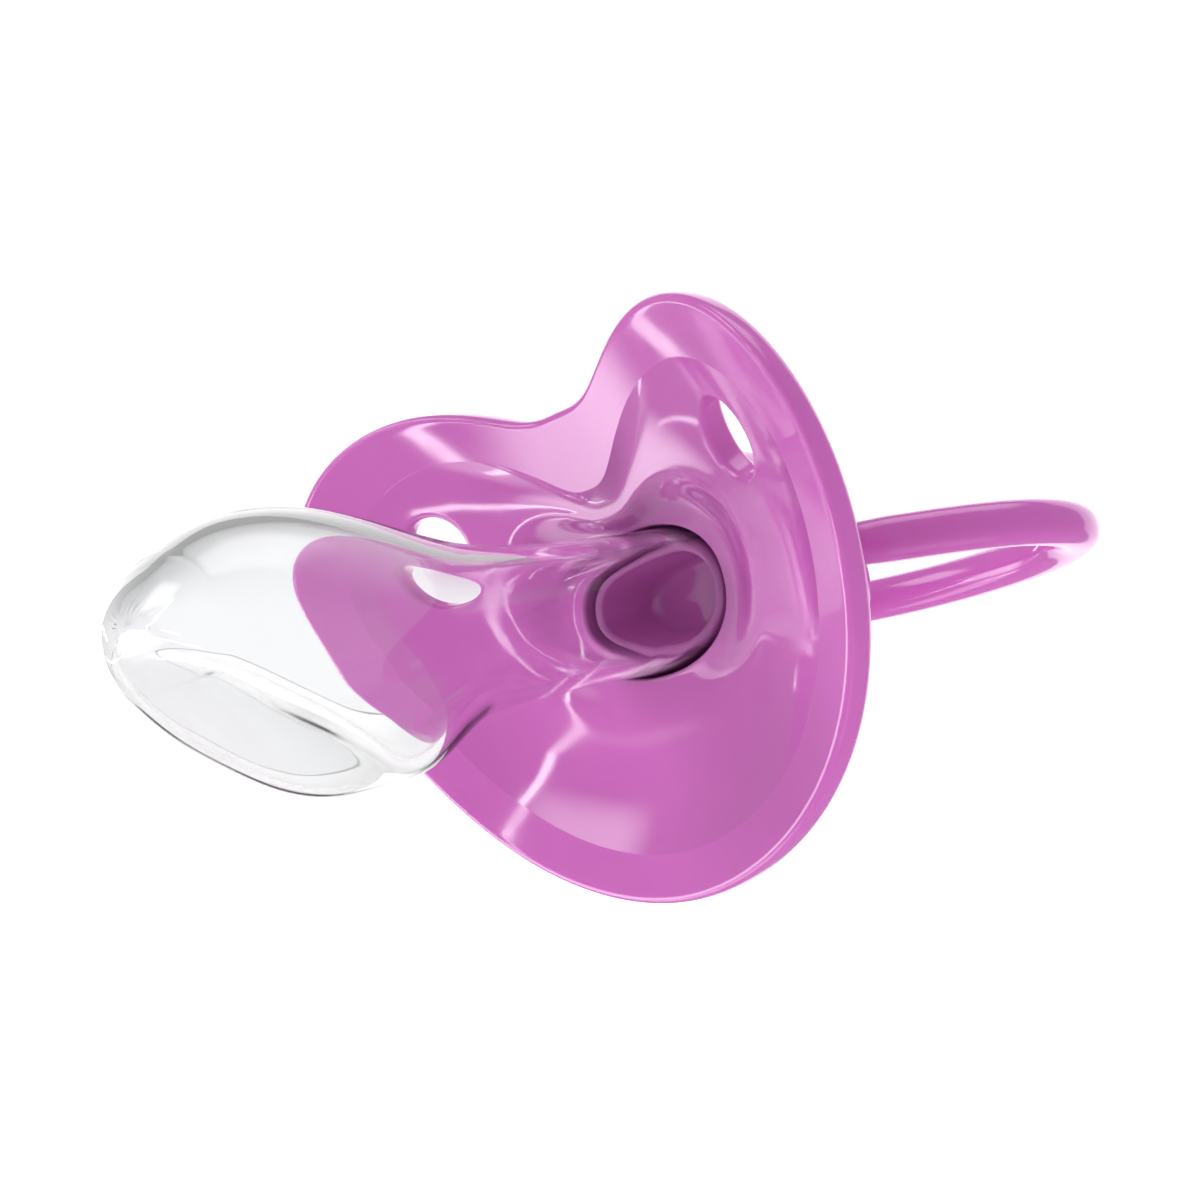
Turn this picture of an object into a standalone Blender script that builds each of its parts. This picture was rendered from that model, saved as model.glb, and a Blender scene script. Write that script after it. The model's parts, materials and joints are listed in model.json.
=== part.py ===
"""Baby pacifier: shield, hollow silicone teat, neck insert, rear cap and hinged ring handle.

Frame: +Z runs from the chin side of the shield to its nose notch, -Y points along the teat
towards the mouth and X runs across the shield. The plane X = 0 is the plane of symmetry.
The origin is the middle of the rear cap's flat back face. Lengths below are millimetres.
"""
import math

import bmesh
import bpy
from mathutils import Vector

MM = 0.001
ASSEMBLY_CLEARANCE = 0.3     # gap kept between neighbouring pieces
CAP_BACK_Y = 12.6            # y of the cap's back face, which ends up at the origin
SHARP_ANGLE = math.radians(40)

# Shield: control radii of the rim from the neck axis, chin (-90 degrees) to nose notch (+90).
RIM_CONTROLS = (18.1, 18.35, 19.3, 20.9, 23.05, 25.7, 28.1, 24.9, 18.8, 12.6, 12.3)
SHIELD_FORWARD = 0.56        # how far the rim's surface stands before y = 0 on the neck axis
SHIELD_CURVE_X = 0.0081      # forward sweep of the wings, per mm across squared
SHIELD_CURVE_Z = 0.0097      # forward sweep of chin and nose, per mm squared
SHIELD_CURVE_XXZ = 0.000085  # how much more the wings' upper half sweeps, per mm cubed
SHIELD_LEAN = 0.115          # forward lean towards the nose notch, mm per mm
SHIELD_THICKNESS = 1.8
BAND_WIDTH = 4.0             # width of the smooth band round the rim, at the wings' tips
BAND_WIDENING = 1.0          # how much wider the band is at the notch and narrower at the chin
RIM_ROUNDING = 0.75
RIM_ROUNDING_STEPS = 5
DISH_DEPTH = 0.65            # how far the dish sinks between the neck hole and the band
DISH_FRACTIONS = (0.0, 0.1, 0.2, 0.32, 0.46, 0.62, 0.80, 0.93, 1.0)
BACK_FRACTIONS = (1.0, 0.85, 0.65, 0.45, 0.25, 0.12)
BOSS_REACH = 0.42            # share of the dish that blends into the flat boss round the hole
SHIELD_SIDES = 72
NECK_HOLE = (7.6, 4.5)       # half width and half height of the hole for the teat's neck
NECK_HOLE_Y = 0.45           # front edge of the hole
NECK_HOLE_ROUNDING = 0.45
NECK_SQUARENESS = 2.2        # exponent of the neck's oval; 2 is an ellipse
SEAT_Y = 3.6                 # rear face that the teat's flange rests against
HUB_OUTER = (10.0, 6.9)
HUB_INNER = (9.1, 6.0)
HUB_END_Y = 7.5
VENT_CENTRE = (15.5, 6.8)
VENT_RADIUS = 2.45
VENT_CUTTER_REACH = 6.0
VENT_SIDES = 24

# Teat: sections along the axis as (y, half width, top, bottom, squareness of the underside, wall).
TEAT_SECTIONS = (
    (0.5, 7.30, 4.20, -4.20, 2.2, 0.60),
    (-2.5, 7.30, 4.25, -4.25, 2.2, 0.65),
    (-5.5, 7.25, 4.35, -4.35, 2.2, 0.70),
    (-9.0, 7.00, 4.55, -4.55, 2.2, 0.75),
    (-12.0, 7.05, 4.80, -4.80, 2.3, 0.80),
    (-15.0, 7.40, 5.40, -5.30, 2.5, 0.85),
    (-18.0, 8.15, 6.60, -6.80, 2.8, 0.85),
    (-20.5, 8.60, 7.70, -7.90, 3.2, 0.85),
    (-23.5, 8.85, 8.60, -7.40, 3.6, 0.85),
    (-26.5, 8.75, 8.90, -5.75, 3.6, 0.85),
    (-29.5, 8.20, 8.50, -3.90, 3.4, 0.85),
    (-32.0, 6.95, 7.10, -1.20, 3.0, 0.85),
    (-33.7, 4.90, 5.50, 1.10, 2.5, 0.85),
)
TEAT_WIDEST_DROP = 0.08      # how much lower a section's widest height is, per unit of squareness
TEAT_TIP = (-34.6, 3.25)     # y and z of the foremost point
TEAT_STEPS_PER_SECTION = 2
INNER_SECTIONS = 11.5        # how many section steps the hollow reaches from the neck
INNER_TIP_REACH = 0.6
SCOOP_CENTRE = (-27.0, -3.2)             # y and z of the hollow pad on the teat's underside
SCOOP_SLOPE = math.radians(33)
SCOOP_SIZE = (8.6, 7.6)                  # half length along the slope and half width
SCOOP_DEPTH = 1.3
SCOOP_STEEPNESS = 1.35
TEAT_FLANGE = (8.8, 5.7)
TEAT_FLANGE_THICKNESS = 1.1
TEAT_SIDES = 36

# Insert: a shallow oval cup that holds the neck open and clamps the teat's flange.
INSERT_WALL = 0.6
INSERT_LIP = 0.25            # rounding of the mouth
INSERT_MOUTH_Y = 0.8
INSERT_TAPER = 0.4           # how much narrower the bore is at its floor
INSERT_FLOOR_Y = 4.4
INSERT_FLOOR = 1.1
INSERT_FLANGE_THICKNESS = 1.1
INSERT_RECESS = (4.9, 2.3)
INSERT_SIDES = 36

# Rear cap: outer sections as (y, half width, half height) from its open front to the flat back.
CAP_SECTIONS = (
    (3.4, 11.3, 8.6),
    (6.0, 11.2, 8.55),
    (7.0, 10.3, 8.35),
    (7.7, 8.9, 8.1),
    (9.6, 8.4, 7.5),
    (11.2, 7.9, 6.9),
    (12.2, 7.1, 6.1),
)
CAP_BACK_FACE = (6.4, 5.4)
CAP_SKIRT_CAVITY = (10.3, 7.2)
CAP_PRESSER = (8.7, 5.6)
CAP_CORE_CAVITY = (5.2, 4.2)
CAP_CORE_FLOOR_Y = 11.0
CAP_SIDES = 40
SOCKET_CUTTER_END_X = 14.0

# Ring handle: an oval loop on two inward pins in the cap's sides.
HINGE_Y = 9.6
HINGE_Z = 0.5
RING_REST_TILT = math.radians(-6.2)
RING_ROOT_HALF_GAP = 10.45
RING_HALF_WIDTH = 15.3
RING_REACH = 19.5            # hinge to the middle of the far end
RING_END_LENGTH = 10.2
RING_SQUARENESS = 2.12
RING_SECTION = (1.5, 1.4)    # half width in the loop's plane, half thickness across it
RING_SIDES = 14
RING_FLANK_STEPS = 8
RING_END_STEPS = 14
PIN_RADIUS = 1.35
PIN_END_X = 6.3
PIN_SHOULDER_X = 7.9         # where the pin starts to bend into the loop
PIN_BEND = (9.55, 0.1)       # x and distance behind the hinge, halfway round the bend
FLANK_START = 0.75           # distance behind the hinge where the bend ends
SOCKET_RADIUS = PIN_RADIUS + ASSEMBLY_CLEARANCE
SOCKET_END_X = PIN_END_X - ASSEMBLY_CLEARANCE


def clear_scene():
    for obj in list(bpy.data.objects):
        bpy.data.objects.remove(obj, do_unlink=True)


def make_material(name, colour, roughness, transmission=0.0):
    material = bpy.data.materials.new(name)
    material.use_nodes = True
    shader = material.node_tree.nodes["Principled BSDF"]
    shader.inputs["Base Color"].default_value = (*colour, 1.0)
    shader.inputs["Roughness"].default_value = roughness
    shader.inputs["Metallic"].default_value = 0.0
    shader.inputs["Transmission Weight"].default_value = transmission
    return material


def superellipse(angle, half_width, half_height, squareness):
    """Point of an oval at a parameter angle, as (x, z)."""
    power = 2.0 / squareness
    c = math.cos(angle)
    s = math.sin(angle)
    return (
        math.copysign(abs(c) ** power, c) * half_width,
        math.copysign(abs(s) ** power, s) * half_height,
    )


def oval_ring(y, size, sides):
    """Ring of points round the neck axis at one y."""
    ring = []
    for i in range(sides):
        x, z = superellipse(math.tau * i / sides, size[0], size[1], NECK_SQUARENESS)
        ring.append(Vector((x, y, z)))
    return ring


def catmull_rom(values, position):
    """Smooth value between the entries of a list; position counts entries."""
    last = len(values) - 1
    i = min(int(position), last - 1)
    t = position - i
    before = values[max(i - 1, 0)]
    a = values[i]
    b = values[i + 1]
    after = values[min(i + 2, last)]
    return 0.5 * (
        2 * a
        + (b - before) * t
        + (2 * before - 5 * a + 4 * b - after) * t ** 2
        + (3 * a - before - 3 * b + after) * t ** 3
    )


def body_from_rings(name, rings, material, closed_loop=False, start_pole=None, end_pole=None):
    """Bridge rings of equal size into one closed body, in metres, with the origin shifted to the cap."""
    mesh = bpy.data.meshes.new(name)
    bm = bmesh.new()
    shift = Vector((0.0, CAP_BACK_Y, 0.0))

    def vertex(point):
        return bm.verts.new((point - shift) * MM)

    rows = [[vertex(p) for p in ring] for ring in rings]
    pairs = list(zip(rows, rows[1:]))
    if closed_loop:
        pairs.append((rows[-1], rows[0]))
    for row, following in pairs:
        for i, v in enumerate(row):
            j = (i + 1) % len(row)
            bm.faces.new((v, row[j], following[j], following[i]))
    for pole, row in ((start_pole, rows[0]), (end_pole, rows[-1])):
        if pole is not None:
            tip = vertex(pole)
            for i, v in enumerate(row):
                bm.faces.new((tip, v, row[(i + 1) % len(row)]))
    bmesh.ops.recalc_face_normals(bm, faces=bm.faces)
    bm.to_mesh(mesh)
    bm.free()
    mesh.materials.append(material)
    mesh.shade_smooth()
    mesh.set_sharp_from_angle(angle=SHARP_ANGLE)
    obj = bpy.data.objects.new(name, mesh)
    bpy.context.collection.objects.link(obj)
    return obj


def add_cylinder_cutter(name, radius, start, end, sides):
    """Round cutter between two points given in the millimetre frame."""
    shift = Vector((0.0, CAP_BACK_Y, 0.0))
    axis = Vector(end) - Vector(start)
    middle = (Vector(start) + Vector(end)) / 2 - shift
    mesh = bpy.data.meshes.new(name)
    bm = bmesh.new()
    bmesh.ops.create_cone(
        bm, cap_ends=True, segments=sides, radius1=radius * MM, radius2=radius * MM, depth=axis.length * MM,
    )
    bm.to_mesh(mesh)
    bm.free()
    cutter = bpy.data.objects.new(name, mesh)
    cutter.rotation_mode = "QUATERNION"
    cutter.rotation_quaternion = Vector((0, 0, 1)).rotation_difference(axis)
    cutter.location = middle * MM
    cutter.hide_render = True
    cutter.display_type = "WIRE"
    bpy.context.collection.objects.link(cutter)
    return cutter


def cut(obj, cutter):
    modifier = obj.modifiers.new("cut_" + cutter.name, "BOOLEAN")
    modifier.operation = "DIFFERENCE"
    modifier.object = cutter


# --- shield -------------------------------------------------------------------------------------

def rim_radius(angle):
    """Rim radius at a polar angle in the X-Z plane, on a cubic B-spline; left and right match."""
    elevation = math.asin(max(-1.0, min(1.0, math.sin(angle))))
    spans = len(RIM_CONTROLS) - 1
    position = (elevation / math.pi + 0.5) * spans
    i = min(int(position), spans - 1)
    t = position - i
    mirrored = (RIM_CONTROLS[1],) + RIM_CONTROLS + (RIM_CONTROLS[-2],)
    a, b, c, d = mirrored[i:i + 4]
    return (
        (1 - t) ** 3 * a
        + (3 * t ** 3 - 6 * t ** 2 + 4) * b
        + (-3 * t ** 3 + 3 * t ** 2 + 3 * t + 1) * c
        + t ** 3 * d
    ) / 6


def crease_radius(angle):
    """Where the rim's band meets the dish."""
    return rim_radius(angle) - BAND_WIDTH - BAND_WIDENING * math.sin(angle)


def shield_base_y(x, z):
    """Smooth surface that the rim's band lies on."""
    sweep = SHIELD_CURVE_X * x * x + SHIELD_CURVE_Z * z * z + SHIELD_CURVE_XXZ * x * x * z
    return -(SHIELD_FORWARD + sweep + SHIELD_LEAN * z)


def hole_radius(angle, size):
    """Polar radius of an oval at a polar angle."""
    across = abs(math.cos(angle) / size[0]) ** NECK_SQUARENESS
    upwards = abs(math.sin(angle) / size[1]) ** NECK_SQUARENESS
    return (across + upwards) ** (-1.0 / NECK_SQUARENESS)


def smooth_step(t):
    t = max(0.0, min(1.0, t))
    return t * t * t * (t * (6 * t - 15) + 10)


def shield_front_y(x, z):
    """Mouth-side surface: a flat boss round the hole, a shallow dish and the rim's band."""
    angle = math.atan2(z, x)
    hole = hole_radius(angle, NECK_HOLE)
    share = (math.hypot(x, z) - hole) / (crease_radius(angle) - hole)
    share = max(0.0, min(1.0, share))
    sink = 4.0 * DISH_DEPTH * share * (1.0 - share)
    blend = smooth_step(share / BOSS_REACH)
    return NECK_HOLE_Y * (1.0 - blend) + (shield_base_y(x, z) + sink) * blend


def polar_ring(radius_at, y_at):
    ring = []
    for i in range(SHIELD_SIDES):
        angle = math.tau * i / SHIELD_SIDES
        radius = radius_at(angle)
        x = radius * math.cos(angle)
        z = radius * math.sin(angle)
        ring.append(Vector((x, y_at(x, z), z)))
    return ring


def make_shield(material):
    def hole_wall(angle):
        return hole_radius(angle, NECK_HOLE)

    def hole_edge(angle):
        return hole_wall(angle) + NECK_HOLE_ROUNDING

    def between(start, fraction):
        return lambda angle: start(angle) + (crease_radius(angle) - start(angle)) * fraction

    def hub(angle):
        return hole_radius(angle, HUB_OUTER)

    def hub_bore(angle):
        return hole_radius(angle, HUB_INNER)

    def back_y(x, z):
        return shield_front_y(x, z) + SHIELD_THICKNESS

    rings = [polar_ring(hole_wall, lambda x, z: NECK_HOLE_Y + NECK_HOLE_ROUNDING)]
    rings += [polar_ring(between(hole_edge, f), shield_front_y) for f in DISH_FRACTIONS]
    half = SHIELD_THICKNESS / 2
    for k in range(RIM_ROUNDING_STEPS + 1):
        turn = math.pi * k / RIM_ROUNDING_STEPS
        rings.append(polar_ring(
            lambda a, t=turn: rim_radius(a) - RIM_ROUNDING * (1 - math.sin(t)),
            lambda x, z, t=turn: shield_base_y(x, z) + half - half * math.cos(t),
        ))
    rings += [polar_ring(between(hub, f), back_y) for f in BACK_FRACTIONS]
    rings.append(polar_ring(hub, lambda x, z: SEAT_Y))
    rings.append(polar_ring(hub, lambda x, z: HUB_END_Y))
    rings.append(polar_ring(hub_bore, lambda x, z: HUB_END_Y))
    rings.append(polar_ring(hub_bore, lambda x, z: SEAT_Y))
    rings.append(polar_ring(hole_wall, lambda x, z: SEAT_Y))
    shield = body_from_rings("shield", rings, material, closed_loop=True)
    for side in (-1, 1):
        x, z = VENT_CENTRE
        y = shield_base_y(x, z)
        rise_x = 2 * x * side * (SHIELD_CURVE_X + SHIELD_CURVE_XXZ * z)
        rise_z = 2 * SHIELD_CURVE_Z * z + SHIELD_CURVE_XXZ * x * x + SHIELD_LEAN
        slope = Vector((rise_x, 1.0, rise_z)).normalized()
        centre = Vector((x * side, y, z))
        cutter = add_cylinder_cutter(
            f"vent_cutter_{'left' if side < 0 else 'right'}",
            VENT_RADIUS, centre - slope * VENT_CUTTER_REACH, centre + slope * VENT_CUTTER_REACH, VENT_SIDES,
        )
        cut(shield, cutter)
    return shield


# --- teat ---------------------------------------------------------------------------------------

def teat_section(position):
    return [catmull_rom([section[k] for section in TEAT_SECTIONS], position) for k in range(6)]


def press_scoop(point, middle):
    """Push a point of the teat's underside inwards where the oval pad is."""
    if point.z > middle:
        return point
    along = Vector((0.0, math.cos(SCOOP_SLOPE), -math.sin(SCOOP_SLOPE)))
    inward = Vector((0.0, math.sin(SCOOP_SLOPE), math.cos(SCOOP_SLOPE)))
    offset = point - Vector((0.0, SCOOP_CENTRE[0], SCOOP_CENTRE[1]))
    spread = math.hypot(offset.dot(along) / SCOOP_SIZE[0], offset.x / SCOOP_SIZE[1])
    return point + inward * (SCOOP_DEPTH * smooth_step(SCOOP_STEEPNESS * (1.0 - spread)))


def teat_ring(section, inset_share):
    """Section of the teat, inset by a share of its wall; the underside is squarer than the top."""
    y, half_width, top, bottom, squareness, wall = section
    inset = wall * inset_share
    widest_share = 0.5 - TEAT_WIDEST_DROP * (squareness - NECK_SQUARENESS)
    middle = bottom + (top - bottom) * widest_share
    ring = []
    for i in range(TEAT_SIDES):
        angle = math.tau * i / TEAT_SIDES
        if math.sin(angle) >= 0:
            x, z = superellipse(angle, half_width - inset, top - middle - inset, NECK_SQUARENESS)
        else:
            x, z = superellipse(angle, half_width - inset, middle - bottom - inset, squareness)
        ring.append(press_scoop(Vector((x, y, middle + z)), middle))
    return ring


def make_teat(material):
    steps = (len(TEAT_SECTIONS) - 1) * TEAT_STEPS_PER_SECTION
    inner_steps = int(INNER_SECTIONS * TEAT_STEPS_PER_SECTION)
    outer = [teat_ring(teat_section(i / TEAT_STEPS_PER_SECTION), 0.0) for i in range(steps + 1)]
    inner = [teat_ring(teat_section(i / TEAT_STEPS_PER_SECTION), 1.0) for i in range(inner_steps)]
    flange_front = SEAT_Y + ASSEMBLY_CLEARANCE
    flange_back = flange_front + TEAT_FLANGE_THICKNESS
    rings = list(reversed(outer))
    rings.append(oval_ring(flange_front, neck_size(0.0), TEAT_SIDES))
    rings.append(oval_ring(flange_front, TEAT_FLANGE, TEAT_SIDES))
    rings.append(oval_ring(flange_back, TEAT_FLANGE, TEAT_SIDES))
    rings.append(oval_ring(flange_back, neck_size(neck_wall()), TEAT_SIDES))
    rings += inner
    tip = Vector((0.0, TEAT_TIP[0], TEAT_TIP[1]))
    inner_tip = sum(inner[-1], Vector()) / TEAT_SIDES - Vector((0.0, INNER_TIP_REACH, 0.0))
    return body_from_rings("teat", rings, material, start_pole=tip, end_pole=inner_tip)


# --- insert -------------------------------------------------------------------------------------

def neck_wall():
    return TEAT_SECTIONS[0][5]


def neck_size(inset):
    """Half width and half height of the teat's neck in the shield's hole, inset all round."""
    return (TEAT_SECTIONS[0][1] - inset, TEAT_SECTIONS[0][2] - inset)


def make_insert(material):
    outer = neck_size(neck_wall() + ASSEMBLY_CLEARANCE)
    bore = (outer[0] - INSERT_WALL, outer[1] - INSERT_WALL)
    floor = (bore[0] - INSERT_TAPER, bore[1] - INSERT_TAPER)
    lip = INSERT_LIP
    flange_front = SEAT_Y + TEAT_FLANGE_THICKNESS + 2 * ASSEMBLY_CLEARANCE
    flange_back = flange_front + INSERT_FLANGE_THICKNESS
    recess_floor = INSERT_FLOOR_Y + INSERT_FLOOR
    rings = [
        oval_ring(INSERT_FLOOR_Y, floor, INSERT_SIDES),
        oval_ring(INSERT_MOUTH_Y + lip, bore, INSERT_SIDES),
        oval_ring(INSERT_MOUTH_Y, (bore[0] + lip, bore[1] + lip), INSERT_SIDES),
        oval_ring(INSERT_MOUTH_Y, (outer[0] - lip, outer[1] - lip), INSERT_SIDES),
        oval_ring(INSERT_MOUTH_Y + lip, outer, INSERT_SIDES),
        oval_ring(flange_front, outer, INSERT_SIDES),
        oval_ring(flange_front, TEAT_FLANGE, INSERT_SIDES),
        oval_ring(flange_back, TEAT_FLANGE, INSERT_SIDES),
        oval_ring(flange_back, INSERT_RECESS, INSERT_SIDES),
        oval_ring(recess_floor, INSERT_RECESS, INSERT_SIDES),
    ]
    front_pole = Vector((0.0, INSERT_FLOOR_Y, 0.0))
    back_pole = Vector((0.0, recess_floor, 0.0))
    return body_from_rings("teat_insert", rings, material, start_pole=front_pole, end_pole=back_pole)


# --- rear cap -----------------------------------------------------------------------------------

def make_cap(material):
    insert_back = SEAT_Y + TEAT_FLANGE_THICKNESS + 2 * ASSEMBLY_CLEARANCE + INSERT_FLANGE_THICKNESS
    presser_y = insert_back + ASSEMBLY_CLEARANCE
    shoulder_y = HUB_END_Y + ASSEMBLY_CLEARANCE
    rings = [oval_ring(CAP_BACK_Y, CAP_BACK_FACE, CAP_SIDES)]
    rings += [oval_ring(y, (w, h), CAP_SIDES) for y, w, h in reversed(CAP_SECTIONS)]
    rings += [
        oval_ring(CAP_SECTIONS[0][0], CAP_SKIRT_CAVITY, CAP_SIDES),
        oval_ring(shoulder_y, CAP_SKIRT_CAVITY, CAP_SIDES),
        oval_ring(shoulder_y, CAP_PRESSER, CAP_SIDES),
        oval_ring(presser_y, CAP_PRESSER, CAP_SIDES),
        oval_ring(presser_y, CAP_CORE_CAVITY, CAP_SIDES),
        oval_ring(CAP_CORE_FLOOR_Y, CAP_CORE_CAVITY, CAP_SIDES),
    ]
    back = Vector((0.0, CAP_BACK_Y, 0.0))
    floor = Vector((0.0, CAP_CORE_FLOOR_Y, 0.0))
    cap = body_from_rings("rear_cap", rings, material, start_pole=back, end_pole=floor)
    for side in (-1, 1):
        cutter = add_cylinder_cutter(
            f"socket_cutter_{'left' if side < 0 else 'right'}", SOCKET_RADIUS,
            (side * SOCKET_END_X, HINGE_Y, HINGE_Z), (side * SOCKET_CUTTER_END_X, HINGE_Y, HINGE_Z),
            RING_SIDES * 2,
        )
        cut(cap, cutter)
    return cap


# --- ring handle --------------------------------------------------------------------------------

def ring_centreline():
    """Half of the loop in its own plane, as (x, distance behind the hinge), pin end to far end."""
    widest = RING_REACH - RING_END_LENGTH
    path = [(PIN_END_X, 0.0), (PIN_SHOULDER_X, 0.0), PIN_BEND]
    for i in range(RING_FLANK_STEPS):
        t = i / RING_FLANK_STEPS
        bulge = math.sin(t * math.pi / 2)
        x = RING_ROOT_HALF_GAP + (RING_HALF_WIDTH - RING_ROOT_HALF_GAP) * bulge
        path.append((x, FLANK_START + (widest - FLANK_START) * t))
    for i in range(RING_END_STEPS + 1):
        angle = math.pi / 2 * i / RING_END_STEPS
        x, s = superellipse(angle, RING_HALF_WIDTH, RING_END_LENGTH, RING_SQUARENESS)
        path.append((x, widest + s))
    return path


def make_ring(material):
    half = ring_centreline()
    centre = [Vector((x, s, 0.0)) for x, s in half]
    centre += [Vector((-x, s, 0.0)) for x, s in reversed(half[:-1])]
    hinge = Vector((0.0, HINGE_Y, HINGE_Z))
    turn = Vector((0.0, math.cos(RING_REST_TILT), math.sin(RING_REST_TILT)))
    upright = Vector((0.0, -math.sin(RING_REST_TILT), math.cos(RING_REST_TILT)))
    rings = []
    for i, point in enumerate(centre):
        before = centre[max(i - 1, 0)]
        after = centre[min(i + 1, len(centre) - 1)]
        along = (after - before).normalized()
        sideways = Vector((along.y, -along.x, 0.0))
        is_pin = point.y == 0.0
        half_width, half_thickness = (PIN_RADIUS, PIN_RADIUS) if is_pin else RING_SECTION
        row = []
        for k in range(RING_SIDES):
            angle = math.tau * k / RING_SIDES
            p = point + sideways * (half_width * math.cos(angle))
            lift = half_thickness * math.sin(angle)
            row.append(hinge + Vector((p.x, 0.0, 0.0)) + turn * p.y + upright * lift)
        rings.append(row)
    ends = [sum(row, Vector()) / len(row) for row in (rings[0], rings[-1])]
    return body_from_rings("ring_handle", rings, material, start_pole=ends[0], end_pole=ends[1])


def set_origin_on_hinge(obj):
    """Put the ring's origin on its hinge axis without moving its shape."""
    hinge = Vector((0.0, (HINGE_Y - CAP_BACK_Y) * MM, HINGE_Z * MM))
    for vertex in obj.data.vertices:
        vertex.co -= hinge
    obj.location = hinge


def main():
    clear_scene()
    pink = make_material("orchid_pink_plastic", (0.63, 0.165, 0.55), 0.12)
    clear = make_material("clear_silicone", (0.93, 0.94, 0.95), 0.06, transmission=0.9)
    make_shield(pink)
    make_teat(clear)
    make_insert(pink)
    make_cap(pink)
    set_origin_on_hinge(make_ring(pink))


main()
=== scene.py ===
"""Looks of the baby pacifier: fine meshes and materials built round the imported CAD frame.

Lengths in the shape sections are millimetres in the row frame moved along Y: its y = 0 lies just
in front of the edge of the shield's neck hole. place() turns such points into row-frame metres.
"""
import json
import math

import bmesh
import bpy
import numpy as np
from mathutils import Matrix, Vector


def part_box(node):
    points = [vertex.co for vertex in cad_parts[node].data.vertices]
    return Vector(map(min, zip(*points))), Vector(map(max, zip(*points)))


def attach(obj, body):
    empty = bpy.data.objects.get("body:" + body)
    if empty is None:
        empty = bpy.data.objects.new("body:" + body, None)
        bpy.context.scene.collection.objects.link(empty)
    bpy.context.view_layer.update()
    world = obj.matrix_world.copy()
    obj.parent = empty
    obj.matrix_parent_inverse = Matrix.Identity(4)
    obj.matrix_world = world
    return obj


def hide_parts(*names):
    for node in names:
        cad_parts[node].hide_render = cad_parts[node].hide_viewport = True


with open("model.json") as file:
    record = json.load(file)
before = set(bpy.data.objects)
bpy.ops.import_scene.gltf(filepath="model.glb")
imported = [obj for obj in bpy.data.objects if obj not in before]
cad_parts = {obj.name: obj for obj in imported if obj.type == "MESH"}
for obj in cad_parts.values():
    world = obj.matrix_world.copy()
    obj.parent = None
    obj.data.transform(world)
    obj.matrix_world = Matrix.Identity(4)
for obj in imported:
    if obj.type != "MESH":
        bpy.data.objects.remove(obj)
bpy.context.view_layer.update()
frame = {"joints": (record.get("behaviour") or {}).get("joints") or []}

MM = 0.001
HUB_END_Y = 7.5                                   # rear end of the shield's hub
NECK_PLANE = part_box("shield")[1].y / MM - HUB_END_Y   # where the shapes' y = 0 lies in the row frame
HINGE = Vector(frame["joints"][0]["pos_m"])
CLEARANCE = 0.3                                   # gap between neighbouring pieces
OVAL = 2.2                                        # superellipse power of every oval

# Shield. The controls are radii of the outline from straight down to straight up, for both sides.
RIM_CONTROLS = (18.1, 18.35, 19.3, 20.9, 23.05, 25.7, 28.1, 24.9, 18.8, 12.6, 12.3)
CURVE_X = 0.0081                                  # forward sweep of the wings, per mm squared
CURVE_Z = 0.0097                                  # the same of chin and notch
CURVE_XXZ = 0.000085                              # how much more the wings' upper half sweeps
LEAN = 0.115                                      # forward lean per mm of height
FORWARD = 0.56                                    # how far the swept surface's middle stands before y = 0
THICKNESS = 1.8
BAND_WIDTH = 4.0                                  # from the crease to the outline, at the sides
BAND_WIDENING = 1.0                               # how much more it is at the top, and less below
LIP = 0.75                                        # the outermost part of that, rounded over the edge
LIP_SQUARENESS = 2.9
HOLE = (7.6, 4.5)
HOLE_Y = 0.45                                     # depth of the hole's edge
HOLE_FILLET = 0.3
BOSS_REACH = 0.42                                 # share of the dish over which the boss rises to the hole
DISH_DEPTH = 0.65
SEAT_Y = 3.6                                      # where the teat's flange sits against the shield
HUB_OUTER = (10.0, 6.9)                           # half width and half height, as for every oval
HUB_INNER = (9.1, 6.0)
HUB_EDGE = ((0.12, 0.08), (0.4, 0.0))             # steps of the hub's rear edge: inwards, forwards
VENT_CENTRE = (15.5, 6.8)                         # x and z
VENT_RADIUS = 2.45
VENT_FILLET = 0.45
VENT_MARGIN = 0.45                                # width of the patch that is remeshed round a vent

# Mesh stations of the shield
SHIELD_SIDES = 360
DISH_STATIONS = 56
DISH_END_STATIONS = (1 - 0.012, 1 - 0.004)        # extra ones close to the crease
HOLE_WALL_Y = (SEAT_Y, 2.2, 1.2)
HOLE_FILLET_STEPS = 6
BOSS_STATIONS = 9
BAND_STATIONS = (0.012, 0.04, 0.15, 0.3, 0.45, 0.6, 0.75, 0.9, 1.0)
BACK_BAND_STATIONS = (1.0, 0.75, 0.5, 0.25, 0.04)
LIP_STEPS = 24
HUB_WALL_Y = (SEAT_Y, 5.0, 6.0, HUB_END_Y - 0.3)
VENT_PATCH_LOOPS = 5
VENT_FILLET_STEPS = 6
VENT_FIT_ROUNDS = 12
VENT_FIT_RATE = 0.8                               # share of the remaining distance closed in a round


def place(points):
    """Millimetre points of the shape frame as row-frame metres."""
    out = np.array(points, float).reshape(-1, 3)
    out[:, 1] += NECK_PLANE
    return out * MM


# --- curves --------------------------------------------------------------------------------------

def b_spline(c, position):
    """Uniform cubic B-spline over controls c with one extra at each end; position counts the others."""
    p = np.asarray(position, float)
    i = np.clip(p.astype(int), 0, len(c) - 4)
    t = p - i
    return (
        (1 - t) ** 3 * c[i]
        + (3 * t ** 3 - 6 * t ** 2 + 4) * c[i + 1]
        + (-3 * t ** 3 + 3 * t ** 2 + 3 * t + 1) * c[i + 2]
        + t ** 3 * c[i + 3]
    ) / 6


def mirrored_spline(controls, position):
    """B-spline that is level at its ends."""
    c = np.asarray(controls, float)
    return b_spline(np.concatenate([[c[1]], c, [c[-2]]]), position)


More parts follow.
